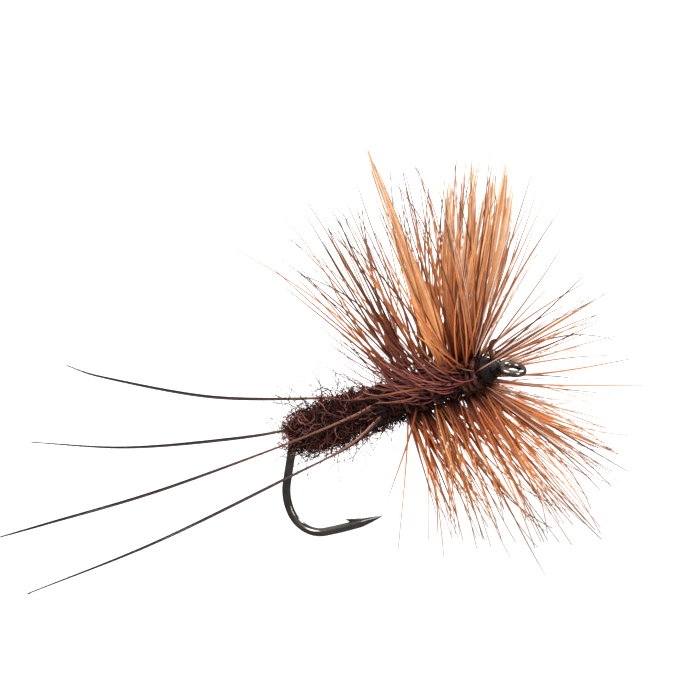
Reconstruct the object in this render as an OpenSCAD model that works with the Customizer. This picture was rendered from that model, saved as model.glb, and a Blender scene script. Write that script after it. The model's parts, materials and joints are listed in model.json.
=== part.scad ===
// Winged dry fly: a mayfly imitation tied on a long-shank hook.
// Shank coordinates: X runs forward along the shank from the rear end of the body,
// Y is the fly's left, Z is square to the shank on the wing side.
// The finished fly is pitched head up. It stands on its hackle tips and its lowest
// tail fibre, with the hook bend just clear of the surface at Z = 0.

/* [Stance] */
// Angle of the shank above the surface, head up
shank_pitch = 19.3; // [17:0.1:21]

/* [Hook] */
// Diameter of the hook wire
wire_d = 0.5; // [0.4:0.01:0.55]
// Place of the shank's front end, where the eye starts
shank_front = 14.85; // [14.6:0.05:15.2]
// Radius of the tight bend under the rear of the body
heel_r = 1; // [0.9:0.05:1.2]
// Length of the straight slope below it
slope_l = 2.45; // [2.2:0.05:2.6]
// Radius of the easy curve at the back of the bend
back_r = 3; // [2.8:0.1:3.2]
// Radius of the tight curve at the bottom of the bend
throat_r = 1.75; // [1.6:0.05:1.9]
// Radius of the long curve of the spear
spear_r = 25.8; // [24:0.1:28]
// Length of the needle point
point_l = 1.5; // [1.2:0.1:1.8]
// Radius of the hole in the eye
eye_hole_r = 0.44; // [0.4:0.01:0.46]
// Wire diameter around the eye
eye_wire_d = 0.42; // [0.38:0.01:0.44]
// How far the eye is turned down
eye_drop = 35; // [30:1:38]

/* [Body] */
// Rear end of the dubbed abdomen
abdomen_rear = -0.35; // [-0.4:0.05:-0.2]
// Front end of the dubbed abdomen
abdomen_front = 6.65; // [6.4:0.05:6.65]
// Largest radius of the abdomen
abdomen_r = 1.1; // [1:0.02:1.14]
// Front end of the dubbed thorax
thorax_front = 13.85; // [13.6:0.05:13.9]
// Radius of the thorax
thorax_r = 0.72; // [0.66:0.01:0.74]

/* [Hackle] */
// Turns of each hackle feather around the thorax
hackle_turns = 3; // [2:1:3]
// Barbs on each turn
barbs_per_turn = 16; // [8:1:18]
// Length of a hackle barb
barb_l = 11.2; // [10.8:0.1:11.6]
// How much longer or shorter a barb may be
barb_l_spread = 0.7; // [0:0.1:1]
// Radius of a barb at its root
barb_r = 0.07; // [0.05:0.005:0.08]
// Radius of the quill wound around the thorax
quill_r = 0.15; // [0.12:0.01:0.16]

/* [Wings] */
// Length of the right wing
right_wing_l = 16; // [14:0.1:17]
// Width of the right wing
right_wing_w = 0.95; // [0.6:0.05:1.2]
// Length of the left wing
left_wing_l = 13.2; // [12:0.1:14]
// Angle that the left wing fans over
left_wing_fan = 24; // [16:1:30]
// Thickness of a wing slip
wing_t = 0.16; // [0.12:0.01:0.2]

/* [Tail] */
// Radius of a tail fibre where it is tied in
tail_r = 0.09; // [0.07:0.005:0.1]
// Radius at its tip
tail_tip_r = 0.035; // [0.03:0.005:0.05]

/* [Hidden] */
$fn = 48;

wire_r = wire_d / 2;
seam = 0.01; // gap between layers wound over each other
thread_t = 0.07; // thickness of one layer of tying thread

// Colours
bronze_steel = [0.16, 0.14, 0.13];
black_thread = [0.07, 0.06, 0.06];
mahogany_fur = [0.22, 0.09, 0.07];
dark_fur = [0.13, 0.07, 0.06];
pheasant_brown = [0.24, 0.16, 0.13];
ginger_barb = [0.66, 0.36, 0.19];
brown_quill = [0.35, 0.19, 0.12];
orange_wing = [0.8, 0.49, 0.28];
clear_lacquer = [0.1, 0.08, 0.08, 0.8];

// Hook bend: each curve starts where the last one ends. A heading of 0 runs back
// along the shank, 90 points away from the wings and 180 points to the head.
heel_end = 55;
back_end = 90;
throat_end = 173;
spear_end = 182;
heel_start_x = 0.82;
function arc_shift(r, a, b) = [r * (sin(a) - sin(b)), r * (cos(b) - cos(a))];
p_heel = [heel_start_x, 0];
p_slope = p_heel + arc_shift(heel_r, 0, heel_end);
p_back = p_slope + slope_l * [-cos(heel_end), -sin(heel_end)];
p_throat = p_back + arc_shift(back_r, heel_end, back_end);
p_spear = p_throat + arc_shift(throat_r, back_end, throat_end);
p_point = p_spear + arc_shift(spear_r, throat_end, spear_end);
barb_at = 2.35; // distance of the hook's barb behind the needle point's tip
barb_cut_l = 0.62;
barb_rise = 0.2;

// Eye of the hook
eye_wire_r = eye_wire_d / 2;
eye_ring_r = eye_hole_r + 0.9 * eye_wire_r;
eye_reach = eye_ring_r + 0.1; // from the shank's end to the middle of the eye
knuckle_r = wire_r + 0.015; // where the shank meets the ring

// Tail fibres: places that each fibre passes through, tied-in end first
tail_left_upper_path = [
    [7.2, 0.6, 0.6], [6.6, 0.64, 0.68], [5.1, 0.8, 0.93], [1.8, 1.3, 1.5],
    [-5.4, 2.6, 3.36], [-12.7, 4.4, 6.24], [-15.1, 5, 7.54]
];
tail_left_lower_path = [
    [7.2, 0.85, 0.1], [6.6, 0.9, 0.1], [4.4, 1.34, 0.1], [-0.3, 1.25, 0.24],
    [-4.9, 1.5, 0.86], [-11.7, 1.9, 2.28], [-17.9, 2.5, 4.3]
];
tail_right_upper_path = [
    [7.2, -0.8, 0.32], [6.6, -0.88, 0.3], [5.1, -1.34, 0.14], [0.3, -1.9, 0],
    [-8.2, -2.6, -0.04], [-15.7, -3, 0.32], [-19.4, -3.1, 0.5]
];
tail_right_lower_path = [
    [7.2, -0.75, -0.42], [6.6, -0.86, -0.5], [4.7, -2, -1.25], [0.9, -3.2, -1.63],
    [-7.95, -5.3, -2.4], [-16.3, -7, -2.56]
];

// Where things are wound on the shank
tail_wrap = [6.68, 7.28];
rear_hackle = [7.8, 10.7];
wing_wrap = [11.25, 11.85];
front_hackle = [12.2, 13.5];
hackle_wrap = [13.87, 14.3];
head_start = 14.31;
// How far out those turns of thread reach
tail_wrap_r = 1.14;
wing_wrap_r = 0.9;
hackle_wrap_r = 0.82;
thread_rib = 0.05; // rounding of one turn of thread
helix_r = thorax_r + quill_r + seam;
barb_root_r = helix_r + quill_r + 0.04;
// Lean of the barbs along the shank: [rear top, rear bottom, front top, front bottom]
rear_lean = [-25, -8, 6, 10];
front_lean = [2, 6, 38, 38];
lean_spread = 3;
tip_r = 0.02;
seed = 7;

// The place of the standing surface below the rear end of the shank
lowest_tail = tail_right_lower_path[len(tail_right_lower_path) - 1];
stand_h = tail_tip_r - (lowest_tail[0] * sin(shank_pitch) + lowest_tail[2] * cos(shank_pitch));

// World height of a place given in shank coordinates
function height(p) = stand_h + p[0] * sin(shank_pitch) + p[2] * cos(shank_pitch);
function mix(a, b, t) = a + (b - a) * t;

// One barb of a hackle as [root, tip], cut short where it would pass the surface
function barb_list(span, lean, seed_add) =
    let (
        count = hackle_turns * barbs_per_turn,
        chance = rands(-1, 1, 3 * count, seed + seed_add)
    )
    [
        for (i = [0 : count - 1])
            let (
                u = i / (count - 1),
                around = 360 * hackle_turns * u * (1 - 0.25 / count),
                down = (1 - cos(around)) / 2,
                tilt = mix(mix(lean[0], lean[1], down), mix(lean[2], lean[3], down), u)
                    + lean_spread * chance[3 * i],
                radial = [0, sin(around), cos(around)],
                way = sin(tilt) * [1, 0, 0] + cos(tilt) * radial,
                root = [mix(span[0], span[1], u), 0, 0] + barb_root_r * radial,
                fall = -(way[0] * sin(shank_pitch) + way[2] * cos(shank_pitch)),
                full = barb_l + barb_l_spread * chance[3 * i + 1],
                room = fall > 0.05 ? (height(root) - tip_r) / fall : full
            )
            [root, root + min(full, room) * way]
    ];
rear_barbs = barb_list(rear_hackle, rear_lean, 0);
front_barbs = barb_list(front_hackle, front_lean, 1);

// The middle of the fly's length, for an origin under the centre of its box
function world_x(p) = p[0] * cos(shank_pitch) - p[2] * sin(shank_pitch);
rear_end = tail_right_upper_path[len(tail_right_upper_path) - 1];
front_end_x = max([for (b = front_barbs) world_x(b[1])]);
mid_x = (world_x(rear_end) + front_end_x) / 2;

// Puts shank coordinates in the standing fly's place
module on_shank() {
    translate([-mid_x, 0, stand_h]) rotate([0, -shank_pitch, 0]) children();
}

// Turns the +Z axis towards a direction
module aim(way) {
    rotate([0, acos(way[2] / norm(way)), atan2(way[1], way[0])]) children();
}

// A curve through a list of places, with a number of steps between each pair
function place(list, i) = list[min(max(i, 0), len(list) - 1)];
function blend(a, b, c, d, t) =
    0.5 * (2 * b + (c - a) * t + (2 * a - 5 * b + 4 * c - d) * t * t
        + (3 * b - a - 3 * c + d) * t * t * t);
function curve(list, steps) =
    let (spans = len(list) - 1)
    [
        for (k = [0 : spans * steps])
            let (i = min(floor(k / steps), spans - 1), t = k / steps - i)
            blend(place(list, i - 1), list[i], list[i + 1], place(list, i + 2), t)
    ];

// Radii that fall evenly from one end of a path to the other
function taper(path, root_r, end_r) =
    [for (i = [0 : len(path) - 1]) mix(root_r, end_r, i / (len(path) - 1))];

// A closed round strand along a path, with a radius for each place on it
module strand(path, radii, sides, across) {
    last = len(path) - 1;
    points = [
        for (i = [0 : last])
            let (
                ahead = place(path, i + 1) - place(path, i - 1),
                side = cross(ahead, across) / norm(cross(ahead, across)),
                up = cross(side, ahead) / norm(ahead)
            )
            for (j = [0 : sides - 1])
                path[i] + radii[i] * (cos(360 * j / sides) * side + sin(360 * j / sides) * up)
    ];
    walls = [
        for (i = [0 : last - 1])
            for (j = [0 : sides - 1])
                let (a = i * sides + j, b = i * sides + (j + 1) % sides)
                for (face = [[a, b, b + sides], [a, b + sides, a + sides]]) face
    ];
    caps = [
        [for (j = [sides - 1 : -1 : 0]) j],
        [for (j = [0 : sides - 1]) last * sides + j]
    ];
    polyhedron(points, concat(walls, caps), convexity = 6);
}

// Centre line of the bend and spear: it starts inside the shank and ends at the point
heel_lap = 0.4; // length of the bend's wire that runs inside the shank
function bend_curve(from, r, a, b, steps) =
    [for (k = [1 : steps]) from + arc_shift(r, a, mix(a, b, k / steps))];
bend_line = concat(
    [p_heel + [heel_lap, 0], p_heel],
    bend_curve(p_heel, heel_r, 0, heel_end, 8),
    [p_back],
    bend_curve(p_back, back_r, heel_end, back_end, 6),
    bend_curve(p_throat, throat_r, back_end, throat_end, 14),
    bend_curve(p_spear, spear_r, throat_end, spear_end, 12)
);
bend_path = [for (p = bend_line) [p[0], 0, p[1]]];
// The wire keeps its thickness up to the needle point, then tapers over its length
function point_taper(p) = min(1, 0.08 + 0.92 * norm(p_point - p) / point_l);
bend_skin = 0.004; // the bend's wire is this much thinner than the shank around it

module hook_bend() {
    strand(bend_path, [for (p = bend_line) (wire_r - bend_skin) * point_taper(p)], 16, [0, 1, 0]);
}

// A sliver raised from the top of the spear, its free end towards the bend
module hook_barb() {
    root = p_point - [barb_at - barb_cut_l, 0];
    top = wire_r * 0.8;
    translate([root[0], wire_r * 0.45, root[1]])
        rotate([90, 0, 0])
            linear_extrude(wire_r * 0.9)
                polygon([
                    [0.2, 0], [0.3, top - 0.01], [-barb_cut_l, top + barb_rise],
                    [-barb_cut_l * 0.5, top * 0.9], [-0.3, 0]
                ]);
}

// Ring of the eye, with a short round land worn flat inside it for the leader
module eye_ring() {
    rotate_extrude()
        intersection() {
            translate([eye_ring_r, 0]) circle(r = eye_wire_r);
            translate([eye_hole_r, -eye_wire_r]) square(2 * eye_wire_r);
        }
}

module hook() {
    color(bronze_steel) on_shank() {
        translate([p_heel[0], 0, 0])
            rotate([0, 90, 0]) cylinder(h = shank_front - p_heel[0], r = wire_r);
        hook_bend();
        hook_barb();
        translate([shank_front, 0, 0]) {
            sphere(r = knuckle_r);
            rotate([0, eye_drop, 0]) translate([eye_reach, 0, 0]) eye_ring();
        }
    }
}

// A tube wound around the shank between two places
module wound_tube(span, inner, outer) {
    translate([span[0], 0, 0]) rotate([0, 90, 0]) difference() {
        cylinder(h = span[1] - span[0], r = outer);
        translate([0, 0, -1]) cylinder(h = span[1] - span[0] + 2, r = inner);
    }
}

// Turns of thread side by side: a sleeve with one rounded rib for each turn
module thread_turns(span, inner, outer, turns) {
    pitch = (span[1] - span[0]) / turns;
    rib = min(thread_rib, outer - inner - 2 * seam);
    profile = concat(
        [[inner, 0]],
        [
            for (i = [0 : turns - 1])
                for (k = [0 : 3])
                    [outer - rib + rib * sin(180 * (k + 0.5) / 4), pitch * (i + (k + 0.5) / 4)]
        ],
        [[inner, span[1] - span[0]]]
    );
    translate([span[0], 0, 0]) rotate([0, 90, 0]) rotate_extrude() polygon(profile);
}

underbody_r = wire_r + seam + thread_t;
module thread_underbody() {
    color(black_thread) on_shank()
        wound_tube([heel_start_x + 0.1, head_start - 2 * seam], wire_r + seam, underbody_r);
}

module tail_fibre(path) {
    line = curve(path, 6);
    color(pheasant_brown) on_shank()
        strand(line, taper(line, tail_r, tail_tip_r), 8, [0, 0.3, 1]);
}
module tail_left_upper() { tail_fibre(tail_left_upper_path); }
module tail_left_lower() { tail_fibre(tail_left_lower_path); }
module tail_right_upper() { tail_fibre(tail_right_upper_path); }
module tail_right_lower() { tail_fibre(tail_right_lower_path); }

module tail_tie_wraps() {
    color(black_thread) on_shank()
        thread_turns(tail_wrap, tail_wrap_r - 0.11, tail_wrap_r, 6);
}

// Spindle of dubbed fur, full in the middle and drawn in at both ends
module abdomen_dubbing() {
    steps = 20;
    length = abdomen_front - abdomen_rear;
    bore = underbody_r + seam;
    end_r = bore + 0.12;
    spindle = [
        for (i = [0 : steps])
            [mix(end_r, abdomen_r, pow(sin(180 * (0.04 + 0.88 * i / steps)), 0.45)),
                length * i / steps]
    ];
    color(mahogany_fur) on_shank() difference() {
        translate([abdomen_rear, 0, 0]) rotate([0, 90, 0])
            rotate_extrude() polygon(concat([[0, 0]], spindle, [[0, length]]));
        translate([heel_start_x, 0, 0]) rotate([0, 90, 0]) cylinder(h = length, r = bore);
        translate([heel_start_x + 0.05, 0, 0]) mirror([1, 0, 0]) hook_passage();
    }
}

// Room for the wire where it turns down through the rear of the abdomen
passage_l = 4;
module hook_passage() {
    rotate([0, 90, 0]) cylinder(h = 0.1, r = underbody_r + seam);
    for (turn = [heel_end / 2, heel_end - 5])
        rotate([0, 90 + turn, 0]) cylinder(h = passage_l, r = underbody_r + seam);
}

module thorax_dubbing() {
    color(dark_fur) on_shank()
        wound_tube([abdomen_front + 0.02, thorax_front], underbody_r + seam, thorax_r);
}

// Right wing: one narrow slip of feather, seen almost edge on
right_wing_root = [11.55, -0.55, 0.95];
right_wing_way = [3.9, -4.55, 14.8];
module right_wing() {
    steps = 10;
    edge = [
        for (i = [0 : steps])
            let (t = i / steps)
            [right_wing_w / 2 * pow(sin(180 * (0.1 + 0.88 * pow(t, 0.8))), 0.9), right_wing_l * t]
    ];
    back = [for (i = [steps : -1 : 0]) [-edge[i][0], edge[i][1]]];
    color(orange_wing) on_shank()
        translate(right_wing_root) aim(right_wing_way) rotate([90, 0, 70])
            translate([0, 0, -wing_t / 2]) linear_extrude(wing_t) polygon(concat(edge, back));
}

// Left wing: a fan of slips that have come apart at their tips
left_wing_root = [11.55, 0.65, 0.95];
left_wing_way = [4.1, 5.6, 9.6];
left_wing_slips = 6;
module left_wing() {
    slip_angle = left_wing_fan / (left_wing_slips - 1);
    root_half = 0.3;
    notch = 0.72;
    fan = [
        for (i = [0 : 2 * left_wing_slips - 2])
            let (
                a = left_wing_fan / 2 - slip_angle * i / 2,
                r = left_wing_l * (i % 2 == 0 ? 1 - 0.05 * (i % 4) / 2 : notch)
            )
            [-r * sin(a), r * cos(a)]
    ];
    color(orange_wing) on_shank()
        translate(left_wing_root) aim(left_wing_way) rotate([90, 0, 15])
            translate([0, 0, -wing_t / 2]) linear_extrude(wing_t)
                polygon(concat([[root_half, 0], [-root_half, 0]], fan));
}

module wing_tie_wraps() {
    color(black_thread) on_shank()
        thread_turns(wing_wrap, thorax_r + seam, wing_wrap_r, 6);
}

// A hackle quill wound in an open spiral
module wound_quill(span) {
    steps = 18 * hackle_turns;
    spiral = [
        for (k = [0 : steps])
            let (around = 360 * hackle_turns * k / steps)
            [mix(span[0], span[1], k / steps), helix_r * sin(around), helix_r * cos(around)]
    ];
    strand(spiral, taper(spiral, quill_r, quill_r * 0.8), 8, [1, 0, 0]);
}

module hackle_barbs(list) {
    for (b = list)
        translate(b[0]) aim(b[1] - b[0])
            cylinder(h = norm(b[1] - b[0]), r1 = barb_r, r2 = tip_r, $fn = 16);
}

module rear_hackle_quill() {
    color(brown_quill) on_shank() wound_quill(rear_hackle);
}
module rear_hackle_barbs() {
    color(ginger_barb) on_shank() hackle_barbs(rear_barbs);
}
module front_hackle_quill() {
    color(brown_quill) on_shank() wound_quill(front_hackle);
}
module front_hackle_barbs() {
    color(ginger_barb) on_shank() hackle_barbs(front_barbs);
}

module hackle_tie_wraps() {
    color(black_thread) on_shank()
        thread_turns(hackle_wrap, underbody_r + seam, hackle_wrap_r, 5);
}

// Trimmed butt of a hackle quill, curled over the head
stub_r = 0.11;
stub_foot = [14.62, 0, 0.66];
stub_rise = [0, 0, 0.2];
stub_curl_r = 0.75;
stub_curl = 80;
module quill_stub() {
    color(brown_quill) on_shank() {
        translate(stub_foot) cylinder(h = stub_rise[2], r = stub_r);
        translate(stub_foot + stub_rise + [stub_curl_r, 0, 0]) rotate([90, 0, 0])
            rotate([0, 0, 180 - stub_curl]) rotate_extrude(angle = stub_curl)
                translate([stub_curl_r, 0]) circle(r = stub_r);
    }
}

// Tapered ball of thread behind the eye
head_r = 0.5;
nose_r = 0.36;
head_l = shank_front - head_start - 2 * seam;
module thread_head() {
    turns = 6;
    bore = wire_r + 0.03;
    groove = 0.03;
    ribs = [
        for (i = [0 : 2 * turns])
            let (t = i / (2 * turns))
            [mix(head_r, nose_r, t * t) - (i % 2 == 0 ? groove : 0), head_l * t]
    ];
    color(black_thread) on_shank()
        translate([head_start, 0, 0]) rotate([0, 90, 0])
            rotate_extrude() polygon(concat([[bore, 0]], ribs, [[bore, head_l]]));
}

// Film of lacquer over the thread head
module head_cement() {
    film = 0.05;
    steps = 8;
    inner = [for (i = [0 : steps]) let (t = i / steps) [mix(head_r, nose_r, t * t) + seam, head_l * t]];
    outer = [for (i = [steps : -1 : 0]) [inner[i][0] + film, inner[i][1]]];
    color(clear_lacquer) on_shank()
        translate([head_start, 0, 0]) rotate([0, 90, 0])
            rotate_extrude() polygon(concat(inner, outer));
}

hook();
thread_underbody();
tail_left_upper();
tail_left_lower();
tail_right_upper();
tail_right_lower();
tail_tie_wraps();
abdomen_dubbing();
thorax_dubbing();
right_wing();
left_wing();
wing_tie_wraps();
rear_hackle_quill();
rear_hackle_barbs();
front_hackle_quill();
front_hackle_barbs();
hackle_tie_wraps();
quill_stub();
thread_head();
head_cement();
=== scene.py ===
"""Dry fly: the looks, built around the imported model. Lengths are in millimetres in shank
coordinates (x forward along the shank, y to the fly's left, z square to the shank on the
wing side) and place() turns them into the frame's metres."""
import json
import math

import bpy
import numpy as np
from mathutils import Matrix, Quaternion, Vector


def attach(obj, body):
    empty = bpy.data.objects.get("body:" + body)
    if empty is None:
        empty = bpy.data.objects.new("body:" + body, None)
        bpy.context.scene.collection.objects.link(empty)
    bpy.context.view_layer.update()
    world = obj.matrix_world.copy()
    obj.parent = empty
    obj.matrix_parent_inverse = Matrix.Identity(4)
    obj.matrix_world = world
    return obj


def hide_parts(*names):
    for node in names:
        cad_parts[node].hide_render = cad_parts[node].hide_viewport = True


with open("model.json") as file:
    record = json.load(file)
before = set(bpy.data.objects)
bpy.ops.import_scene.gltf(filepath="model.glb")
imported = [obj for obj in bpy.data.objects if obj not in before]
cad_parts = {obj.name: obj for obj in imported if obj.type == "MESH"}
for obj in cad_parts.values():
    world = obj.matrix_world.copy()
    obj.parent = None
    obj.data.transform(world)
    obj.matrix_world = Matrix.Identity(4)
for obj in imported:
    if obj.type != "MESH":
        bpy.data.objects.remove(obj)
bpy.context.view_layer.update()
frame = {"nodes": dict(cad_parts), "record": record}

MM = 0.001
TAU = 2 * math.pi
ALONG_SHANK = np.array([1.0, 0, 0])

# Stance of the fly: the eye's mount fixes where the shank lies in the frame.
PITCH = math.radians(19.3)
EYE_CENTRE = np.array([15.447, 0.0, -0.418])
FORWARD = np.array([math.cos(PITCH), 0.0, math.sin(PITCH)])
LEFT = np.array([0.0, 1.0, 0.0])
WINGWARD = np.array([-math.sin(PITCH), 0.0, math.cos(PITCH)])


def turned(points):
    """Shank coordinates turned to the frame's axes, without the shift."""
    p = np.asarray(points, float)
    return p[..., :1] * FORWARD + p[..., 1:2] * LEFT + p[..., 2:3] * WINGWARD


eye_mount = next(m for m in frame["record"]["mounts"] if m["name"] == "hook_eye")
ORIGIN = np.array(eye_mount["pos_m"]) - turned(EYE_CENTRE) * MM


def place(points):
    """Shank millimetres to frame metres."""
    return turned(points) * MM + ORIGIN


def unit(v):
    v = np.asarray(v, float)
    return v / np.linalg.norm(v, axis=-1, keepdims=True)


def mix(a, b, t):
    return a + (b - a) * t


def around_shank(angle):
    """Directions away from the shank, for angles from the top towards the fly's left."""
    return np.stack([np.zeros(len(angle)), np.sin(angle), np.cos(angle)], -1)


def even(radius):
    """A radius that is the same all along."""
    return lambda x: np.full(len(x), radius)


# ---------------------------------------------------------------- meshes

def piece_from(name, verts, faces, values=None):
    """A smooth mesh object from shank coordinates, with named values on its points."""
    mesh = bpy.data.meshes.new(name)
    mesh.from_pydata(place(verts).tolist(), [], faces)
    mesh.polygons.foreach_set("use_smooth", [True] * len(mesh.polygons))
    for key, data in (values or {}).items():
        layer = mesh.attributes.new(key, "FLOAT", "POINT")
        layer.data.foreach_set("value", np.asarray(data, np.float32).ravel())
    mesh.update()
    piece = bpy.data.objects.new(name, mesh)
    bpy.context.scene.collection.objects.link(piece)
    return piece


def tube_arrays(paths, radii, sides, across=(1.0, 0.0, 0.0), flat=1.0):
    """Points and faces of many closed tubes. paths is strands x points x 3, radii is
    strands x points, and across is the direction that each section's flat side faces."""
    paths = np.asarray(paths, float)
    radii = np.asarray(radii, float)
    count, length = paths.shape[:2]
    ahead = unit(np.gradient(paths, axis=1))
    across = np.broadcast_to(np.asarray(across, float), ahead.shape)
    side = unit(np.cross(ahead, across) + 1e-9)
    up = np.cross(side, ahead)
    turn = TAU * np.arange(sides) / sides
    ring = (np.cos(turn)[:, None] * side[:, :, None, :]
            + flat * np.sin(turn)[:, None] * up[:, :, None, :])
    verts = paths[:, :, None, :] + radii[:, :, None, None] * ring
    start = (np.arange(count) * length * sides)[:, None, None]
    a = start + (np.arange(length - 1) * sides)[:, None] + np.arange(sides)
    b = start + (np.arange(length - 1) * sides)[:, None] + (np.arange(sides) + 1) % sides
    walls = np.stack([a, b, b + sides, a + sides], -1).reshape(-1, 4).tolist()
    first = (start[:, 0, 0][:, None] + np.arange(sides)[::-1]).tolist()
    last = (start[:, 0, 0][:, None] + (length - 1) * sides + np.arange(sides)).tolist()
    return verts.reshape(-1, 3), walls + first + last


def strands(name, paths, radii, tint, sides=6, **form):
    """One piece of many tapered strands. along runs from 0 at each root to 1 at its tip,
    and tint is one number for each strand."""
    paths = np.asarray(paths, float)
    count, length = paths.shape[:2]
    verts, faces = tube_arrays(paths, radii, sides, **form)
    along = np.broadcast_to(np.linspace(0, 1, length)[None, :, None], (count, length, sides))
    shade = np.broadcast_to(np.asarray(tint, float)[:, None, None], (count, length, sides))
    return piece_from(name, verts, faces, {"along": along, "tint": shade})


def lathe(name, profile, radius_of, around=72):
    """A closed body of revolution about the shank from (x, radius) pairs. radius_of
    roughens the radius as a function of x and the angle."""
    x, r = np.asarray(profile, float).T
    angle = TAU * np.arange(around) / around
    radius = np.broadcast_to(r[:, None], (len(x), around)) * radius_of(x[:, None], angle[None, :])
    verts = np.stack([np.broadcast_to(x[:, None], radius.shape),
                      radius * np.sin(angle), radius * np.cos(angle)], -1).reshape(-1, 3)
    i = (np.arange(len(x) - 1) * around)[:, None]
    j = np.arange(around)
    k = (j + 1) % around
    faces = np.stack([i + j, i + around + j, i + around + k, i + k], -1).reshape(-1, 4).tolist()
    faces.append(list(range(around)))
    faces.append([(len(x) - 1) * around + n for n in range(around)][::-1])
    return piece_from(name, verts, faces)


def lumps(rng, amount, waves, terms=24):
    """Unevenness of a wound body as a sum of a few random waves."""
    parts = [(rng.uniform(0.5, waves), rng.integers(1, 9), rng.uniform(0, TAU))
             for _ in range(terms)]

    def scale(x, angle):
        total = sum(np.sin(f * x * 2 + k * angle + phase) for f, k, phase in parts)
        return 1 + amount * total / math.sqrt(terms)
    return scale


def spline(knots, steps):
    """A smooth curve through a few places."""
    k = np.asarray(knots, float)
    padded = np.vstack([2 * k[0] - k[1], k, 2 * k[-1] - k[-2]])
    t = np.linspace(0, len(k) - 1, steps)
    i = np.minimum(t.astype(int), len(k) - 2)
    f = (t - i)[:, None]
    a, b, c, d = (padded[i + n] for n in range(4))
    return 0.5 * (2 * b + (c - a) * f + (2 * a - 5 * b + 4 * c - d) * f ** 2
                  + (3 * b - a - 3 * c + d) * f ** 3)


# ---------------------------------------------------------------- materials

def shader(name, roughness, **sockets):
    """A Principled material and its node tree. A number that is the same all over the
    surface is set on the shader's own socket."""
    material = bpy.data.materials.new(name)
    material.use_nodes = True
    tree = material.node_tree
    principled = tree.nodes["Principled BSDF"]
    principled.inputs["Roughness"].default_value = roughness
    for key, value in sockets.items():
        principled.inputs[key.replace("_", " ")].default_value = value
    return material, tree, principled


def value_node(tree, key):
    """A named value of the mesh's points."""
    node = tree.nodes.new("ShaderNodeAttribute")
    node.attribute_name = key
    return node.outputs["Fac"]


def noise_node(tree, size_mm, detail=4.0, stretch=None):
    """Noise with features of a given size. stretch scales it along the shank's axes."""
    noise = tree.nodes.new("ShaderNodeTexNoise")
    noise.inputs["Scale"].default_value = 1 / (size_mm * MM)
    noise.inputs["Detail"].default_value = detail
    where = tree.nodes.new("ShaderNodeTexCoord").outputs["Object"]
    if stretch is not None:
        mapping = tree.nodes.new("ShaderNodeMapping")
        mapping.inputs["Scale"].default_value = stretch
        mapping.inputs["Rotation"].default_value = (0, PITCH, 0)
        tree.links.new(where, mapping.inputs["Vector"])
        where = mapping.outputs["Vector"]
    tree.links.new(where, noise.inputs["Vector"])
    return noise.outputs["Fac"]


def ramp_node(tree, source, stops):
    """A colour ramp of (place, (r, g, b)) stops."""
    ramp = tree.nodes.new("ShaderNodeValToRGB")
    elements = ramp.color_ramp.elements
    while len(elements) < len(stops):
        elements.new(0.5)
    for element, (at, colour) in zip(elements, stops):
        element.position = at
        element.color = (*colour, 1)
    tree.links.new(source, ramp.inputs["Fac"])
    return ramp.outputs["Color"]


def mixed(tree, factor, a, b, blend="MIX"):
    """Two colours mixed by a number or by another node's value."""
    node = tree.nodes.new("ShaderNodeMix")
    node.data_type = "RGBA"
    node.blend_type = blend
    if isinstance(factor, float):
        node.inputs["Factor"].default_value = factor
    else:
        tree.links.new(factor, node.inputs["Factor"])
    tree.links.new(a, node.inputs["A"])
    tree.links.new(b, node.inputs["B"])
    return node.outputs["Result"]


def bump(tree, principled, height, strength, depth_mm):
    node = tree.nodes.new("ShaderNodeBump")
    node.inputs["Strength"].default_value = strength
    node.inputs["Distance"].default_value = depth_mm * MM
    tree.links.new(height, node.inputs["Height"])
    tree.links.new(node.outputs["Normal"], principled.inputs["Normal"])


def spotted(tree, principled, colour, size_mm, spots, amount):
    """Gives a shader a colour that is darkened in spots."""
    shade = ramp_node(tree, noise_node(tree, size_mm), spots)
    tree.links.new(mixed(tree, amount, colour, shade, "MULTIPLY"), principled.inputs["Base Color"])


def fibre_material(name, dark, light, roughness=0.42, mottle_mm=0.25, specular=0.3):
    """Feather fibre: colour runs from root to tip along each strand, between a dark and a
    light strand by its tint, with mottling along its length."""
    material, tree, principled = shader(name, roughness, Specular_IOR_Level=specular)
    along = value_node(tree, "along")
    colour = mixed(tree, value_node(tree, "tint"),
                   ramp_node(tree, along, dark), ramp_node(tree, along, light))
    spotted(tree, principled, colour, mottle_mm, [(0.35, (0.72, 0.68, 0.66)), (0.65, (1, 1, 1))], 0.6)
    bump(tree, principled, noise_node(tree, 0.04), strength=0.35, depth_mm=0.01)
    return material


def fur_material(name, dark, light):
    """Dubbing fur: matt strands, each of its own shade."""
    material, tree, principled = shader(name, 0.6, Specular_IOR_Level=0.2)
    middle = mix(np.array(dark), np.array(light), 0.35)
    colour = ramp_node(tree, value_node(tree, "tint"), [(0.0, dark), (0.55, middle), (1.0, light)])
    spotted(tree, principled, colour, 0.3, [(0.3, (0.55, 0.5, 0.5)), (0.7, (1, 1, 1))], 0.8)
    return material


def felt_material(name, dark, light):
    """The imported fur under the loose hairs."""
    material, tree, principled = shader(name, 0.85, Specular_IOR_Level=0.1)
    grain = noise_node(tree, 0.22, 8.0, stretch=(0.5, 1, 1))
    colour = ramp_node(tree, grain, [(0.35, dark), (0.7, light)])
    tree.links.new(colour, principled.inputs["Base Color"])
    bump(tree, principled, noise_node(tree, 0.09, 6.0), strength=1.0, depth_mm=0.06)
    return material


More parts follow.
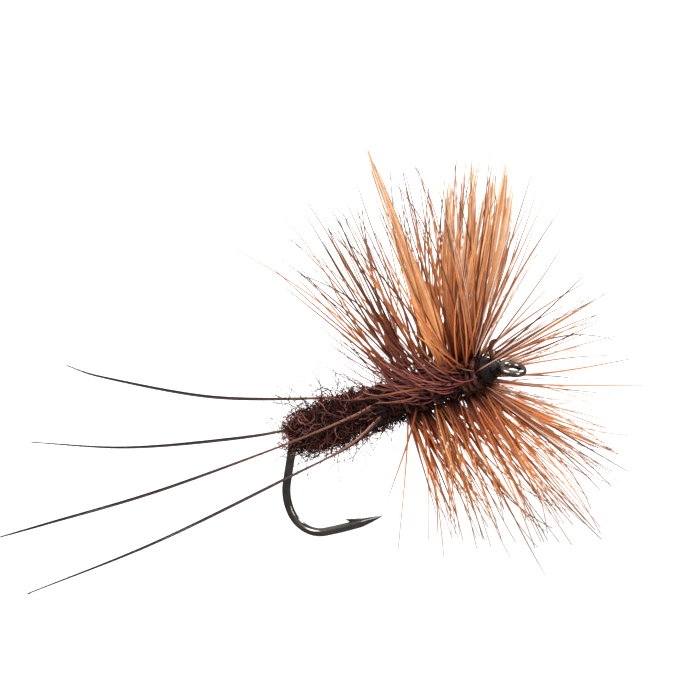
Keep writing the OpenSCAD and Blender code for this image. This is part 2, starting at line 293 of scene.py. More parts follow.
def steel_material():
    """Bronzed hook wire: polished, with fine drawing marks and slightly worn bronze."""
    material, tree, principled = shader("bronzed_steel", 0.2, Metallic=1.0,
                                        Coat_Weight=0.4, Coat_Roughness=0.08)
    patina = noise_node(tree, 0.9, 5.0)
    colour = ramp_node(tree, patina, [(0.3, (0.11, 0.097, 0.086)), (0.62, (0.22, 0.195, 0.175)),
                                      (0.85, (0.42, 0.36, 0.30))])
    tree.links.new(colour, principled.inputs["Base Color"])
    marks = noise_node(tree, 0.06, 3.0, stretch=(0.08, 1, 1))
    rough = tree.nodes.new("ShaderNodeMapRange")
    rough.inputs["To Min"].default_value = 0.08
    rough.inputs["To Max"].default_value = 0.26
    tree.links.new(marks, rough.inputs["Value"])
    tree.links.new(rough.outputs["Result"], principled.inputs["Roughness"])
    bump(tree, principled, marks, strength=0.25, depth_mm=0.006)
    return material


def grain_material(name, dark, light, roughness, specular, grain_mm, detail, strength, depth_mm):
    """A hard or waxed surface whose grain sets both its colour and its relief."""
    material, tree, principled = shader(name, roughness, Specular_IOR_Level=specular)
    grain = noise_node(tree, grain_mm, detail)
    colour = ramp_node(tree, grain, [(0.3, dark), (0.7, light)])
    tree.links.new(colour, principled.inputs["Base Color"])
    bump(tree, principled, grain, strength, depth_mm)
    return material


STEEL = steel_material()
THREAD = grain_material(
    "waxed_thread", dark=(0.003, 0.002, 0.002), light=(0.016, 0.008, 0.007), roughness=0.5,
    specular=0.25, grain_mm=0.05, detail=6.0, strength=0.8, depth_mm=0.012)
LACQUER = grain_material(
    "head_lacquer", dark=(0.002, 0.001, 0.001), light=(0.010, 0.005, 0.004), roughness=0.1,
    specular=0.3, grain_mm=0.12, detail=3.0, strength=0.8, depth_mm=0.05)
QUILL = grain_material(
    "quill_horn", dark=(0.035, 0.010, 0.006), light=(0.13, 0.04, 0.02), roughness=0.32,
    specular=0.35, grain_mm=0.15, detail=5.0, strength=0.5, depth_mm=0.02)
BARB = fibre_material(
    "hackle_barb",
    dark=[(0.0, (0.020, 0.004, 0.003)), (0.25, (0.085, 0.018, 0.009)), (0.6, (0.12, 0.040, 0.020)),
          (1.0, (0.045, 0.028, 0.024))],
    light=[(0.0, (0.07, 0.012, 0.006)), (0.2, (0.50, 0.120, 0.030)), (0.6, (0.76, 0.265, 0.075)),
           (0.85, (0.46, 0.18, 0.075)), (1.0, (0.12, 0.075, 0.055))])
PALE_BARB = fibre_material(
    "pale_barb",
    dark=[(0.0, (0.30, 0.11, 0.05)), (0.4, (0.42, 0.28, 0.22)), (1.0, (0.45, 0.40, 0.38))],
    light=[(0.0, (0.45, 0.18, 0.09)), (0.3, (0.66, 0.42, 0.30)), (1.0, (0.66, 0.58, 0.54))])
WING = fibre_material(
    "wing_fibre",
    dark=[(0.0, (0.22, 0.045, 0.014)), (0.2, (0.55, 0.180, 0.055)), (1.0, (0.50, 0.19, 0.08))],
    light=[(0.0, (0.55, 0.16, 0.05)), (0.25, (0.86, 0.40, 0.14)), (1.0, (0.92, 0.60, 0.34))],
    roughness=0.5, mottle_mm=0.6)
WEB = fibre_material(
    "barb_web",
    dark=[(0.0, (0.35, 0.09, 0.03)), (0.5, (0.66, 0.25, 0.08)), (1.0, (0.60, 0.26, 0.11))],
    light=[(0.0, (0.60, 0.20, 0.07)), (0.5, (0.90, 0.46, 0.18)), (1.0, (0.85, 0.48, 0.24))],
    roughness=0.55, mottle_mm=0.12, specular=0.2)
FOLDED_BARB = fibre_material(
    "folded_barb",
    dark=[(0.0, (0.02, 0.004, 0.004)), (0.5, (0.06, 0.012, 0.011)), (1.0, (0.08, 0.022, 0.018))],
    light=[(0.0, (0.16, 0.03, 0.022)), (0.5, (0.38, 0.095, 0.07)), (1.0, (0.45, 0.18, 0.12))])
# The tail's light ramp is a painted highlight, brightest near the root, and its dark ramp is the fibre's
# own dark brown deepened to painted shade for the underside.
TAIL_WITH_PAINTED_LIGHT = fibre_material(
    "tail_fibre",
    dark=[(0.0, (0.09, 0.020, 0.012)), (0.3, (0.018, 0.007, 0.006)), (1.0, (0.014, 0.009, 0.008))],
    light=[(0.0, (0.70, 0.33, 0.20)), (0.28, (0.34, 0.13, 0.08)), (0.6, (0.045, 0.022, 0.018)),
           (1.0, (0.06, 0.05, 0.048))],
    roughness=0.36, specular=0.4)
FUR = fur_material("dubbing_fur", (0.006, 0.002, 0.002), (0.17, 0.038, 0.026))
DARK_FUR = fur_material("thorax_fur", (0.005, 0.002, 0.002), (0.10, 0.020, 0.014))
LOOP_FUR = fur_material("loop_fur", (0.018, 0.004, 0.003), (0.62, 0.22, 0.16))
STRAY_FUR = fur_material("stray_fur", (0.012, 0.006, 0.005), (0.12, 0.06, 0.05))
FELT = felt_material("packed_fur", (0.004, 0.0015, 0.0015), (0.04, 0.010, 0.008))


def finish_piece(piece, material, slot, *nodes):
    """Gives a piece its look, hangs it under the root body and hides the CAD nodes it stands for. slot is
    not used.
    """
    piece.data.materials.clear()
    piece.data.materials.append(material)
    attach(piece, "root")
    if nodes:
        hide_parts(*nodes)


# ---------------------------------------------------------------- hook

WIRE_R = 0.25
SHANK_FRONT = 14.85
HEEL_X = 0.82
# The bend as (radius, end heading) curves, with a straight slope after the first. A
# heading of 0 runs back along the shank and 90 degrees points away from the wings.
HEEL, BACK, THROAT, SPEAR = (1.0, 55), (3.0, 90), (1.75, 173), (25.8, 182)
SLOPE_L = 2.45
ARC_STEPS = 25
POINT_L = 1.5
SPEAR_TOP_Z = -3  # only wire below this height tapers to the point
WIRE_SIDES = 28

EYE_DROP = math.radians(35)
EYE_RING_R = 0.629
EYE_WIRE_R = 0.205
NECK = [(14.5, 0, 0), (14.8, 0, -0.01), (15.0, 0, -0.11)]
NECK_R = (WIRE_R + 0.004, 0.215)
# The barb's outline: distance along the spear from its tip, height above it, half width
BARB_OUTLINE = [(-1.25, 0.1, 0.1), (-1.5, 0.24, 0.12), (-1.9, 0.34, 0.1),
                (-2.42, 0.5, 0.015), (-2.2, 0.3, 0.09), (-2.0, 0.12, 0.11)]
CREASE_DEGREES = 40


def bend_points():
    """Centre line of the hook from the front of the shank to the point."""
    here = np.array([HEEL_X, 0.0])
    heading = 0.0
    line = [np.array([x, 0.0]) for x in np.linspace(SHANK_FRONT, HEEL_X, 30)]
    for radius, end in (HEEL, BACK, THROAT, SPEAR):
        start, stop = math.radians(heading), math.radians(end)
        for h in np.linspace(start, stop, ARC_STEPS)[1:]:
            shift = (math.sin(start) - math.sin(h), math.cos(h) - math.cos(start))
            line.append(here + radius * np.array(shift))
        here, heading = line[-1], end
        if end == HEEL[1]:
            slope = np.array([-math.cos(stop), -math.sin(stop)])
            line += [here + SLOPE_L * slope * f for f in np.linspace(0.1, 1, 10)]
            here = line[-1]
    return np.array([(p[0], 0.0, p[1]) for p in line])


def wire_piece(name, path, radii):
    verts, faces = tube_arrays(path[None], radii[None], WIRE_SIDES, across=LEFT)
    return piece_from(name, verts, faces)


def hook_wire(path):
    """Shank, bend and spear, tapered to a needle point."""
    left = np.linalg.norm(path - path[-1], axis=1)
    taper = WIRE_R * np.clip(0.05 + 0.95 * (left / POINT_L) ** 0.8, 0, 1)
    return wire_piece("hook_wire", path, np.where(path[:, 2] < SPEAR_TOP_Z, taper, WIRE_R))


def hook_eye(turns=72, sides=24):
    """Ring of the eye, turned down, of wire that is drawn thinner than the shank."""
    out = np.array([math.cos(EYE_DROP), 0, -math.sin(EYE_DROP)])
    normal = np.array([math.sin(EYE_DROP), 0, math.cos(EYE_DROP)])
    turn = np.linspace(0, TAU, turns + 1)[:-1]
    rim = EYE_CENTRE + EYE_RING_R * (np.cos(turn)[:, None] * out + np.sin(turn)[:, None] * LEFT)
    outward = unit(rim - EYE_CENTRE)
    section = TAU * np.arange(sides) / sides
    ring = rim[:, None, :] + EYE_WIRE_R * (np.cos(section)[:, None] * outward[:, None, :]
                                           + np.sin(section)[:, None] * normal)
    quads = [[i * sides + j, i * sides + (j + 1) % sides,
              (i + 1) % turns * sides + (j + 1) % sides, (i + 1) % turns * sides + j]
             for i in range(turns) for j in range(sides)]
    return piece_from("hook_eye", ring.reshape(-1, 3), quads)


def hook_neck(steps=14):
    """Blends the shank into the ring."""
    return wire_piece("hook_neck", spline(NECK, steps), np.linspace(*NECK_R, steps))


def hook_barb(path):
    """A sliver raised from the inner side of the spear, its free end towards the bend."""
    tip = path[-1]
    along = unit(tip - path[-12])
    up = np.array([-along[2], 0, along[0]])
    verts = [tip + along * back + up * rise + LEFT * side * half
             for side in (-1, 1) for back, rise, half in BARB_OUTLINE]
    m = len(BARB_OUTLINE)
    faces = [list(range(m)), list(range(2 * m - 1, m - 1, -1))]
    faces += [[i, i + m, (i + 1) % m + m, (i + 1) % m] for i in range(m)]
    return piece_from("hook_barb", verts, faces)


def join(piece, others):
    """Unites closed meshes into one skin, with creases kept sharp."""
    for other in others:
        union = piece.modifiers.new("join", "BOOLEAN")
        union.operation = "UNION"
        union.solver = "EXACT"
        union.object = other
    graph = bpy.context.evaluated_depsgraph_get()
    mesh = bpy.data.meshes.new_from_object(piece.evaluated_get(graph))
    piece.modifiers.clear()
    piece.data = mesh
    for other in others:
        bpy.data.objects.remove(other)
    mesh.polygons.foreach_set("use_smooth", [True] * len(mesh.polygons))
    mesh.set_sharp_from_angle(angle=math.radians(CREASE_DEGREES))


def hook():
    path = bend_points()
    wire = hook_wire(path)
    join(wire, [hook_eye(), hook_neck(), hook_barb(path)])
    finish_piece(wire, STEEL, "hook_steel", "hook")


# ---------------------------------------------------------------- body

ABDOMEN = (0.25, 6.65)
THORAX = (6.67, 13.85)
WAIST = (6.4, 8.4)
ABDOMEN_R = 1.1
ABDOMEN_END_R = 0.42
THORAX_R = 0.72
THORAX_FUR_R = THORAX_R + 0.12
WAIST_R = 1.12
HAIR_STEPS = 9


def abdomen_radius(x):
    t = np.clip((x - ABDOMEN[0]) / (ABDOMEN[1] - ABDOMEN[0]), 0, 1)
    return ABDOMEN_END_R + (ABDOMEN_R - ABDOMEN_END_R) * np.sin(np.pi * (0.04 + 0.88 * t)) ** 0.7


def hairs(rng, count, span, radius_of, length, curl, spread, thick):
    """Curly hairs that stand off the body: paths, radii and shades. curl is the size of a
    hair's curls for its length, and spread is how far it leans from straight out."""
    x = rng.uniform(*span, count)
    angle = rng.uniform(0, TAU, count)
    base = radius_of(x) * rng.uniform(0.86, 0.98, count)
    radial = around_shank(angle)
    round_way = np.stack([np.zeros(count), np.cos(angle), -np.sin(angle)], -1)
    way = unit(radial * rng.uniform(0.15, 1.0, count)[:, None]
               + ALONG_SHANK * rng.normal(-0.25, spread, count)[:, None]
               + round_way * rng.normal(0, spread, count)[:, None])
    size = length * rng.uniform(0.45, 1.35, count)
    t = np.linspace(0, 1, HAIR_STEPS)[None, :, None]
    bow = unit(np.cross(way, rng.normal(size=(count, 3))))
    other = np.cross(way, bow)
    phase = rng.uniform(0, TAU, count)[:, None, None]
    turns = rng.uniform(0.3, 1.2, count)[:, None, None]
    swirl = (np.cos(TAU * turns * t + phase) - np.cos(phase)) * bow[:, None, :]
    swirl = swirl + (np.sin(TAU * turns * t + phase) - np.sin(phase)) * other[:, None, :]
    start = np.stack([x, np.zeros(count), np.zeros(count)], -1) + radial * base[:, None]
    paths = start[:, None, :] + size[:, None, None] * (way[:, None, :] * t * 0.85 + curl * swirl)
    radii = thick * rng.uniform(0.7, 1.3, count)[:, None] * (1 - 0.7 * t[..., 0] ** 2)
    return paths, radii, rng.random(count) ** 1.7


def fur(rng, name, count, span, radius_of, material, sides=4, thinnest=0.0, **lie):
    """One piece of loose hairs over a stretch of the body."""
    paths, radii, tint = hairs(rng, count, span, radius_of, **lie)
    piece = strands(name, paths, np.maximum(radii, thinnest), tint, sides=sides)
    finish_piece(piece, material, "body_dubbing")


def packed_fur(rng):
    """The solid cores of the abdomen and the thorax."""
    x = np.linspace(*ABDOMEN, 90)
    core = lathe("abdomen_fur", np.stack([x, abdomen_radius(x) * 0.95], -1), lumps(rng, 0.045, 5))
    finish_piece(core, FELT, "body_dubbing", "abdomen_dubbing")
    x = np.linspace(*THORAX, 70)
    core = lathe("thorax_fur", np.stack([x, even(THORAX_R)(x)], -1), lumps(rng, 0.04, 6))
    finish_piece(core, FELT, "body_dubbing", "thorax_dubbing")


def dubbing():
    rng = np.random.default_rng(11)
    packed_fur(rng)
    for n in range(6):
        fur(rng, f"abdomen_hairs_{n + 1}", 330, ABDOMEN, abdomen_radius, FUR,
            length=0.72, curl=0.24, spread=0.75, thick=0.028)
    for n in range(3):
        fur(rng, f"thorax_hairs_{n + 1}", 420, THORAX, even(THORAX_FUR_R), DARK_FUR,
            length=0.7, curl=0.25, spread=0.8, thick=0.03)
    fur(rng, "waist_hairs", 260, WAIST, even(WAIST_R), DARK_FUR,
        length=0.7, curl=0.25, spread=0.8, thick=0.03)
    fur(rng, "abdomen_loops", 420, ABDOMEN, abdomen_radius, LOOP_FUR, sides=5,
        length=0.9, curl=0.4, spread=0.85, thick=0.038)
    fur(rng, "abdomen_rear_fuzz", 110, (0.2, 2.4), abdomen_radius, LOOP_FUR,
        length=1.25, curl=0.3, spread=0.7, thick=0.022)
    fur(rng, "stray_hairs", 130, (0.3, 8.0), abdomen_radius, STRAY_FUR, sides=5, thinnest=0.02,
        length=2.9, curl=0.09, spread=0.6, thick=0.024)


# ---------------------------------------------------------------- tail

TAILS = {
    "tail_left_upper": [(7.2, 0.6, 0.6), (6.6, 0.64, 0.68), (5.1, 0.8, 0.93), (1.8, 1.3, 1.5),
                        (-5.4, 2.6, 3.36), (-12.7, 4.4, 6.24), (-15.1, 5, 7.54)],
    "tail_left_lower": [(7.2, 0.85, 0.1), (6.6, 0.9, 0.1), (4.4, 1.34, 0.1), (-0.3, 1.25, 0.24),
                        (-4.9, 1.5, 0.86), (-11.7, 1.9, 2.28), (-17.9, 2.5, 4.3)],
    "tail_right_upper": [(7.2, -0.8, 0.32), (6.6, -0.88, 0.3), (5.1, -1.34, 0.14), (0.3, -1.9, 0),
                         (-8.2, -2.6, -0.04), (-15.7, -3, 0.32), (-19.4, -3.1, 0.5)],
    "tail_right_lower": [(7.2, -0.75, -0.42), (6.6, -0.86, -0.5), (4.7, -2, -1.25),
                         (0.9, -3.2, -1.63), (-7.95, -5.3, -2.4), (-16.3, -7, -2.56)],
}
TAIL_STEPS = 90
TAIL_ROOT_R = 0.13
TAIL_TIP_R = 0.045
BARBULES = 110
BARBULE_STEPS = 5
BARBULE_R = 0.012


def tail_fibre(name, line, thick, t):
    """Two filaments that lie side by side and turn slowly around each other: the first carries a painted
    highlight and the second painted shade, over the fibre's own dark brown.
    """
    twist = 0.7 * thick[:, None] * np.stack([np.zeros(len(t)), np.cos(6 * t), np.sin(6 * t)], -1)
    pair = np.stack([line + twist, line - twist])
    # Tint 1.0 gives the first filament the painted highlight and tint 0.0 gives the second the painted
    # shade.
    piece = strands(name + "_fibre", pair, np.stack([thick * 0.72, thick * 0.66]),
                    [1.0, 0.0], sides=8, across=(0.0, 0.3, 1.0))
    finish_piece(piece, TAIL_WITH_PAINTED_LIGHT, "tail_fibre", name)


def tail_barbules(rng, name, line, thick):
    """Short hairs that lie along a tail fibre and point to its tip."""
    at = rng.uniform(0.3, 0.97, BARBULES)
    index = (at * (TAIL_STEPS - 1)).astype(int)
    ahead = unit(np.gradient(line, axis=0))[index]
    aside = unit(np.cross(ahead, rng.normal(size=(BARBULES, 3))))
    length = rng.uniform(0.1, 0.22, BARBULES)[:, None, None]
    reach = np.linspace(0, 1, BARBULE_STEPS)[None, :, None] * length
    root = line[index][:, None] + aside[:, None] * (thick[index] * 0.6)[:, None, None]
    paths = root + reach * (ahead + 0.35 * aside)[:, None]
    radii = np.full((BARBULES, 1), BARBULE_R) * np.linspace(1, 0.4, BARBULE_STEPS)
    finish_piece(strands(name + "_barbules", paths, radii, rng.random(BARBULES), sides=4),
                 TAIL_WITH_PAINTED_LIGHT, "tail_fibre")


def tails():
    rng = np.random.default_rng(5)
    t = np.linspace(0, 1, TAIL_STEPS)
    thick = mix(TAIL_ROOT_R, TAIL_TIP_R, t)
    for name, knots in TAILS.items():
        line = spline(knots, TAIL_STEPS)
        tail_fibre(name, line, thick, t)
        tail_barbules(rng, name, line, thick)


# ---------------------------------------------------------------- thread, quills and head

THREAD_R = 0.034
QUILL_R = 0.15
QUILL_COIL_R = 0.88
HEAD = (14.28, 14.87)
HEAD_R = (0.56, 0.40)
HEAD_HOLE_R = 0.26
BUTT = [(14.62, 0, 0.5), (14.6, 0, 0.85), (14.72, -0.02, 1.2), (14.98, -0.03, 1.45), (15.3, 0, 1.5)]


def coil(name, span, radius_of, turns, thick, sides=8, steps=26, flat=0.75):
    """Thread or quill wound around the shank."""
    count = int(turns * steps)
    u = np.linspace(0, 1, count)
    outward = around_shank(TAU * turns * u)
    path = mix(span[0], span[1], u)[:, None] * ALONG_SHANK + radius_of(u)[:, None] * outward
    end = np.clip(np.minimum(u, 1 - u) * 40, 0.5, 1)
    return strands(name, path[None], (thick * end)[None], [0.5], sides=sides,
                   across=outward[None], flat=flat)


def thread_wraps(name, node, span, radius_of, turns, thick=THREAD_R):
    finish_piece(coil(name, span, radius_of, turns, thick), THREAD, "tying_thread", node)


def wound_quill(name, node, span):
    piece = coil(name, span, even(QUILL_COIL_R), 3, QUILL_R, sides=12, steps=40, flat=0.8)
    finish_piece(piece, QUILL, "hackle_quill", node)


def lacquered_head():
    """A film over the thread head that follows its turns as faint ribs."""
    x = np.linspace(*HEAD, 60)
    t = (x - x[0]) / (x[-1] - x[0])
    rim = np.sin(np.pi * np.clip(t * 1.04 - 0.02, 0, 1)) ** 0.35
    ribs = 0.012 * np.sin(TAU * 10 * t)
    radius = HEAD_HOLE_R + (mix(*HEAD_R, t * t) - HEAD_HOLE_R) * rim + ribs * rim
    uneven = lumps(np.random.default_rng(3), 0.03, 4)
    finish_piece(lathe("lacquered_head", np.stack([x, radius], -1), uneven),
                 LACQUER, "head_lacquer", "head_cement")


def quill_butt():
    """Trimmed butt of the quill, curled over the head."""
    curl = spline(BUTT, 30)
    thick = np.concatenate([np.linspace(0.12, 0.15, 20), np.linspace(0.15, 0.07, 10)])
    piece = strands("quill_butt", curl[None], thick[None], [0.5], sides=12, across=LEFT, flat=0.7)
    finish_piece(piece, QUILL, "hackle_quill", "quill_stub")


def windings():
    thread_wraps("tail_wraps", "tail_tie_wraps", (6.7, 7.26), lambda u: 1.0 + 0.03 * np.sin(9 * u), 11)
    thread_wraps("wing_wraps", "wing_tie_wraps", (11.27, 11.83),
                 lambda u: 0.80 + 0.04 * np.sin(np.pi * u), 11)
    thread_wraps("hackle_wraps", "hackle_tie_wraps", (13.87, 14.34), lambda u: mix(0.78, 0.56, u), 9)
    wound_quill("rear_quill", "rear_hackle_quill", (7.8, 10.7))
    wound_quill("front_quill", "front_hackle_quill", (12.2, 13.5))
    thread_wraps("head_turns", "thread_head", (14.32, 14.84), lambda u: mix(0.48, 0.33, u * u), 10, 0.035)
    lacquered_head()
    quill_butt()
    # The foundation is buried in the body and stays the CAD shape
    buried = frame["nodes"]["thread_underbody"].data
    buried.materials.clear()
    buried.materials.append(THREAD)


# ---------------------------------------------------------------- wings

# The direction that lies across a wing slip seen broadside
BROADSIDE = np.array([0.78, 0.55, -0.3])
RIGHT_WING = [(11.55, -0.55, 0.7), (12.75, -1.75, 4.6), (13.75, -3.0, 8.9), (15.4, -5.0, 15.7)]
LEFT_SLIPS = 13
LEFT_WING_L = 13.3
FIBRE_R = (0.03, 0.07)


def slip_width(root, swell, widest):
    """Width of a slip from root to tip, largest at the share widest of its length."""
    return lambda t: (root + swell * np.clip(t / widest, 0, 1)
                      * np.clip((1 - t) / (1 - widest), 0, 1) ** 0.8)


def slip(rng, name, node, line, width_of, fibres, ragged):
    """Fibres of one married slip of feather, side by side across its width along a line."""
    t = np.linspace(0, 1, len(line))
    ahead = unit(line[-1] - line[0])
    across = unit(BROADSIDE - ahead * np.dot(BROADSIDE, ahead))
    face = np.cross(across, ahead)
    paths, radii = [], []
    for k in range(fibres):
        offset = (k + 0.5) / fibres * 2 - 1
        at = t * (1 - ragged * rng.random() - 0.06 * abs(offset))
        centre = np.stack([np.interp(at, t, line[:, i]) for i in range(3)], -1)
        aside = width_of(at) * offset * 0.5 + rng.normal(0, 0.03) * at ** 2
        lift = rng.normal(0, 0.02) * at
        paths.append(centre + aside[:, None] * across + lift[:, None] * face)
        radii.append(np.clip(width_of(at) / fibres * 0.72, *FIBRE_R) * (1 - 0.5 * t ** 4))
    piece = strands(name, paths, radii, rng.random(fibres), sides=8, across=face, flat=0.7)
    finish_piece(piece, WING, "wing_fibre", node)


def right_wing(rng):
    """One narrow slip, broadest above the root and drawn to a point."""
    slip(rng, "right_wing_slip", "right_wing", spline(RIGHT_WING, 34),
         slip_width(0.22, 1.1, 0.25), fibres=20, ragged=0.06)


def left_wing(rng):
    """Many small slips that have come apart into an open fan."""
    for n in range(LEFT_SLIPS):
        f = n / (LEFT_SLIPS - 1)
        way = unit(np.array([2.3 + 3.5 * f, 4.8 + 1.1 * f, 10.4 - 0.6 * f]) + rng.normal(0, 0.12, 3))
        root = np.array([mix(11.3, 12.0, f), 0.6, 0.7])
        length = LEFT_WING_L * (1 - 0.12 * rng.random())
        middle = root + way * length * 0.5 + BROADSIDE * rng.normal(0, 0.35)
        width_of = slip_width(0.12, rng.uniform(0.22, 0.5), 0.5)
        slip(rng, f"left_wing_slip_{n + 1}", "left_wing", spline([root, middle, root + way * length], 26),
             width_of, fibres=int(rng.integers(3, 7)), ragged=0.16)


def wings():
    rng = np.random.default_rng(21)
    right_wing(rng)
    left_wing(rng)


# ---------------------------------------------------------------- hackle

FLOOR_GAP = 0.04
ROOT_R = 0.98
FOLDED_ROOT_R = 0.8
BARB_STEPS = 15
BARB_T = np.linspace(0, 1, BARB_STEPS)


def above_floor(paths):
    """Strands that would pass the standing surface, cut short where they meet it."""
    height = (turned(paths)[..., 2] * MM + ORIGIN[2]) / MM
    kept = paths.copy()
    for n in np.flatnonzero(height.min(axis=1) < FLOOR_GAP):
        low = np.argmax(height[n] < FLOOR_GAP)
        share = (height[n, low - 1] - FLOOR_GAP) / (height[n, low - 1] - height[n, low])
        end = mix(BARB_T[low - 1], BARB_T[low], share)
        for axis in range(3):
            kept[n, :, axis] = np.interp(BARB_T * end, BARB_T, paths[n, :, axis])
    return kept


def crowd(angle):
    """Share of the barbs that are kept at an angle from the top, towards the fly's left.
    The hackle has been pressed into an upper and a lower bunch with thin sides."""
    off_top = (angle + math.pi) % TAU - math.pi
    top = np.exp(-(off_top / np.where(off_top < 0, 0.52, 0.9)) ** 4)
    bottom = np.exp(-((angle - math.pi + 0.2) / 0.68) ** 4)
    left = 0.45 * np.exp(-((angle - 0.5 * math.pi) / 0.7) ** 2)
    return np.maximum.reduce([top, bottom, left, np.full(len(angle), 0.03)])


def barb_lines(rng, count, span, turns, lean, top_l, bottom_l, lean_spread=9.0, bow=0.085):
    """Centre lines of the barbs of one wound hackle, and their angles from the top. lean
    holds degrees forward of square to the shank: rear top, rear bottom, front top, front
    bottom."""
    tries = count * 8
    u = rng.random(tries)
    angle = (TAU * turns * u + rng.normal(0, 0.25, tries)) % TAU
    kept = np.flatnonzero(rng.random(tries) < crowd(angle))[:count]
    u, angle, count = u[kept], angle[kept], len(kept)
    down = (1 - np.cos(angle)) / 2
    tilt = mix(mix(lean[0], lean[1], down), mix(lean[2], lean[3], down), u)
    tilt = np.clip(tilt + rng.normal(0, lean_spread, count), -25, 56)
    shorter = 1 - 0.22 * np.clip((tilt - 22) / 25, 0, 1)
    tilt = np.radians(tilt)
    radial = around_shank(angle)
    way = unit(np.sin(tilt)[:, None] * ALONG_SHANK + np.cos(tilt)[:, None] * radial
               + rng.normal(0, 0.05, (count, 3)))
    root = mix(span[0], span[1], u)[:, None] * ALONG_SHANK + ROOT_R * radial
    size = mix(top_l, bottom_l, down) * shorter * np.clip(rng.normal(1, 0.09, count), 0.72, 1.13)
    t = BARB_T[None, :, None]
    bend = bow * (1 + 0.5 * down)
    sag = unit(np.cross(way, rng.normal(size=(count, 3)))) * rng.normal(0, bend, count)[:, None]
    tip_curl = unit(np.cross(way, rng.normal(size=(count, 3)))) * rng.normal(0, 0.06, count)[:, None]
    shape = way[:, None] * t + sag[:, None] * t * t + tip_curl[:, None] * t ** 4
    return root[:, None] + size[:, None, None] * shape, angle


def trimmed(paths, angle):
    """The lower barbs of the rear turns are shorter than the rest."""
    root = paths[:, :1]
    rear = np.clip((10.4 - root[:, 0, 0]) / 2.7, 0, 1)
    share = 1 - 0.36 * rear * np.clip(-np.cos(angle), 0, 1)
    return root + (paths - root) * share[:, None, None]


def folded_lines(rng, count):
    """Barbs bent back along the right side of the thorax, curving up at their tips."""
    start = rng.uniform(8.6, 13.6, count)
    radial = around_shank(np.radians(rng.uniform(-118, -20, count)))
    root = start[:, None] * ALONG_SHANK + FOLDED_ROOT_R * radial
    size = rng.uniform(2.2, 5.5, count)[:, None, None]
    t = BARB_T[None, :, None]
    back = np.stack([-rng.uniform(0.55, 0.95, count), -rng.uniform(0.0, 0.25, count),
                     rng.uniform(-0.15, 0.2, count)], -1)
    rise = np.stack([rng.uniform(-0.1, 0.4, count), -rng.uniform(0.0, 0.2, count),
                     rng.uniform(0.1, 1.0, count)], -1)
    bulge = 0.28 * radial[:, None] * np.sin(np.pi * np.minimum(t * 1.6, 1))
    return root[:, None] + size * (back[:, None] * t + rise[:, None] * t * t) + bulge


def barb_radii(rng, count, root_r, tip_r):
    return mix(root_r, tip_r, BARB_T[None, :] ** 1.3) * rng.uniform(0.75, 1.2, count)[:, None]


def tints_painted_lighter_below(rng, angle, middle):
    """Shades of barbs, spread at random about a middle, with painted light that makes the lower ones
    lighter.
    """
    return np.clip(rng.normal(middle, 0.38, len(angle)) + 0.22 * (1 - np.cos(angle)) / 2, 0, 1)


def hackle_pieces(name, node, paths, radii, tint, material, per_piece):
    paths = above_floor(paths)
    for n, first in enumerate(range(0, len(paths), per_piece)):
        part = slice(first, first + per_piece)
        finish_piece(strands(f"{name}_{n + 1}", paths[part], radii[part], tint[part]),
                     material, "hackle_barb", node)


def wound_barbs(rng):
    """The barbs of the rear and of the front hackle."""
    paths, angle = barb_lines(rng, 175, (7.7, 11.2), 4, lean=(-14, 1, 8, 8),
                              top_l=10.6, bottom_l=9.3, lean_spread=8.0)
    paths = trimmed(paths, angle)
    radii = barb_radii(rng, len(paths), 0.066, 0.018)
    hackle_pieces("rear_barbs", "rear_hackle_barbs", paths, radii, tints_painted_lighter_below(rng, angle, 0.42), BARB, 25)
    paths, angle = barb_lines(rng, 175, (11.6, 13.7), 4, lean=(4, 4, 34, 34), top_l=10.7, bottom_l=9.6)
    radii = barb_radii(rng, len(paths), 0.066, 0.018)
    hackle_pieces("front_barbs", "front_hackle_barbs", paths, radii, tints_painted_lighter_below(rng, angle, 0.5), BARB, 25)


def folded_barbs(rng):
    paths = folded_lines(rng, 84)
    radii = barb_radii(rng, len(paths), 0.05, 0.02)
    tint = rng.random(len(paths)) ** 1.3
    hackle_pieces("folded_barbs", "front_hackle_barbs", paths, radii, tint, FOLDED_BARB, 84)


def barb_web(rng):
    """Downy web at the roots of the lower barbs."""
    for n, (span, lean) in enumerate([((9.0, 11.0), (0, 4, 0, 14)), ((12.0, 13.6), (0, 12, 0, 30))]):
        paths, angle = barb_lines(rng, 40, span, 1, lean, top_l=6.5, bottom_l=6.8,
                                  lean_spread=7.0, bow=0.12)
        paths = paths[np.cos(angle) < -0.5]
        radii = barb_radii(rng, len(paths), 0.07, 0.02) * (1 + 0.9 * np.sin(np.pi * BARB_T))
        piece = strands(f"barb_web_{n + 1}", paths, radii, rng.random(len(paths)), sides=8,
                        across=(0.9, 0.4, 0.2), flat=0.3)
        finish_piece(piece, WEB, "hackle_barb", "rear_hackle_barbs")


def pale_barbs(rng):
    """Sparse long pale barbs around the front turns."""
    paths, _ = barb_lines(rng, 44, (13.2, 13.9), 2, lean=(28, 30, 50, 52), top_l=10.6, bottom_l=10.6)
    radii = barb_radii(rng, len(paths), 0.036, 0.011)
    tint = rng.random(len(paths))
    hackle_pieces("pale_barbs", "front_hackle_barbs", paths, radii, tint, PALE_BARB, 22)


def long_barbs(rng):
    """A few long barbs that carry the fly."""
    paths, _ = barb_lines(rng, 12, (9.8, 13.0), 1, lean=(0, 2, 6, 4), top_l=11.0, bottom_l=11.6,
                          lean_spread=4.0, bow=0.03)
    radii = barb_radii(rng, len(paths), 0.06, 0.018)
    hackle_pieces("long_barbs", "rear_hackle_barbs", paths, radii, rng.random(len(paths)), BARB, 12)


def hackles():
    rng = np.random.default_rng(42)
    wound_barbs(rng)
    folded_barbs(rng)
    barb_web(rng)
    pale_barbs(rng)
    long_barbs(rng)


# ---------------------------------------------------------------- stage

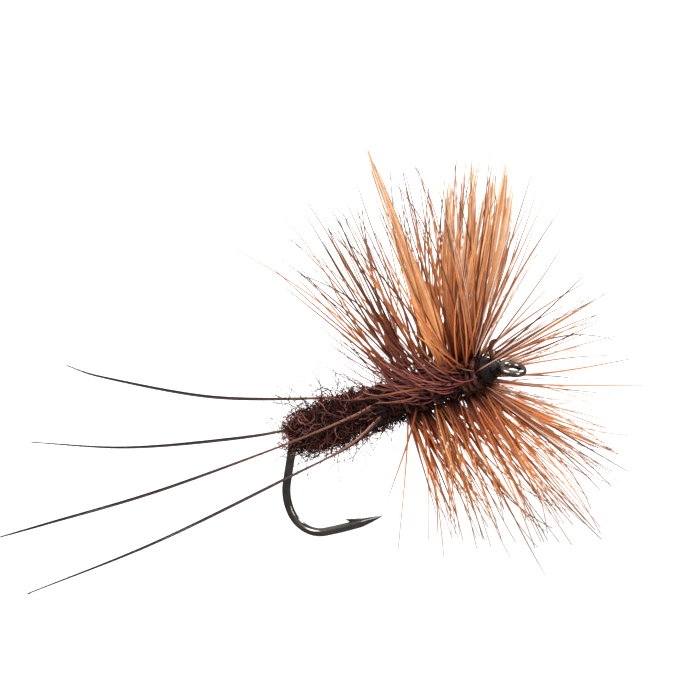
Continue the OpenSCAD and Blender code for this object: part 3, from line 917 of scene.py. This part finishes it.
# The view: what the camera looks at, from where, and the width that it sees there
VIEW_TARGET = (4.25, 3.04, 3.22)
AZIMUTH, ELEVATION, ROLL = math.radians(27.05), math.radians(17.05), math.radians(-6.3)
VIEW_WIDTH = 40.46
LENS, SENSOR = 600.0, 36.0
LAMP_TARGET = (0, 0, 10)


def camera():
    data = bpy.data.cameras.new("camera")
    data.lens = LENS
    data.sensor_width = SENSOR
    data.clip_start = 0.01
    eye = bpy.data.objects.new("camera", data)
    bpy.context.scene.collection.objects.link(eye)
    bpy.context.scene.camera = eye
    back = np.array([math.sin(AZIMUTH) * math.cos(ELEVATION), -math.cos(AZIMUTH) * math.cos(ELEVATION),
                     math.sin(ELEVATION)])
    eye.location = Vector(place(VIEW_TARGET) + back * VIEW_WIDTH * LENS / SENSOR * MM)
    eye.rotation_mode = "QUATERNION"
    level = Vector(-back).to_track_quat("-Z", "Y")
    eye.rotation_quaternion = level @ Quaternion((0, 0, 1), ROLL)


def lamp(name, kind, from_mm, size, power):
    """A soft light from a place in the frame towards the fly: a disc of a size in
    millimetres, or a sun of a size in degrees that lights the whole floor evenly."""
    data = bpy.data.lights.new(name, kind)
    data.energy = power
    if kind == "SUN":
        data.angle = math.radians(size)
    else:
        data.shape = "DISK"
        data.size = size * MM
    light = bpy.data.objects.new(name, data)
    bpy.context.scene.collection.objects.link(light)
    light.location = Vector(from_mm) * MM
    light.rotation_mode = "QUATERNION"
    light.rotation_quaternion = (Vector(LAMP_TARGET) * MM - light.location).to_track_quat("-Z", "Y")


def sky():
    """A world that is dark below and pale above, which gives the steel its contrast."""
    world = bpy.data.worlds.new("studio")
    world.use_nodes = True
    tree = world.node_tree
    axes = tree.nodes.new("ShaderNodeSeparateXYZ")
    tree.links.new(tree.nodes.new("ShaderNodeTexCoord").outputs["Generated"], axes.inputs["Vector"])
    greys = [(height, (grey,) * 3) for height, grey in ((0.0, 0.22), (0.35, 0.35), (0.9, 0.85))]
    tree.links.new(ramp_node(tree, axes.outputs["Z"], greys), tree.nodes["Background"].inputs["Color"])
    bpy.context.scene.world = world


def pale_floor():
    bpy.ops.mesh.primitive_circle_add(vertices=96, radius=3, fill_type="NGON")
    floor = bpy.context.object
    floor.name = "floor"
    material, _, principled = shader("pale_floor", 0.9, Specular_IOR_Level=0.1)
    principled.inputs["Base Color"].default_value = (0.93, 0.93, 0.93, 1)
    floor.data.materials.append(material)
    floor.visible_glossy = False  # keeps the white floor out of the polished steel


def studio():
    bpy.context.scene.view_settings.view_transform = "Standard"
    sky()
    pale_floor()
    lamp("key", "SUN", (-60, -160, 220), size=38, power=3.0)
    lamp("rim", "AREA", (120, 140, 160), size=80, power=0.45)
    lamp("side", "AREA", (230, -60, 55), size=110, power=0.19)


camera()
studio()
hook()
dubbing()
tails()
windings()
wings()
hackles()
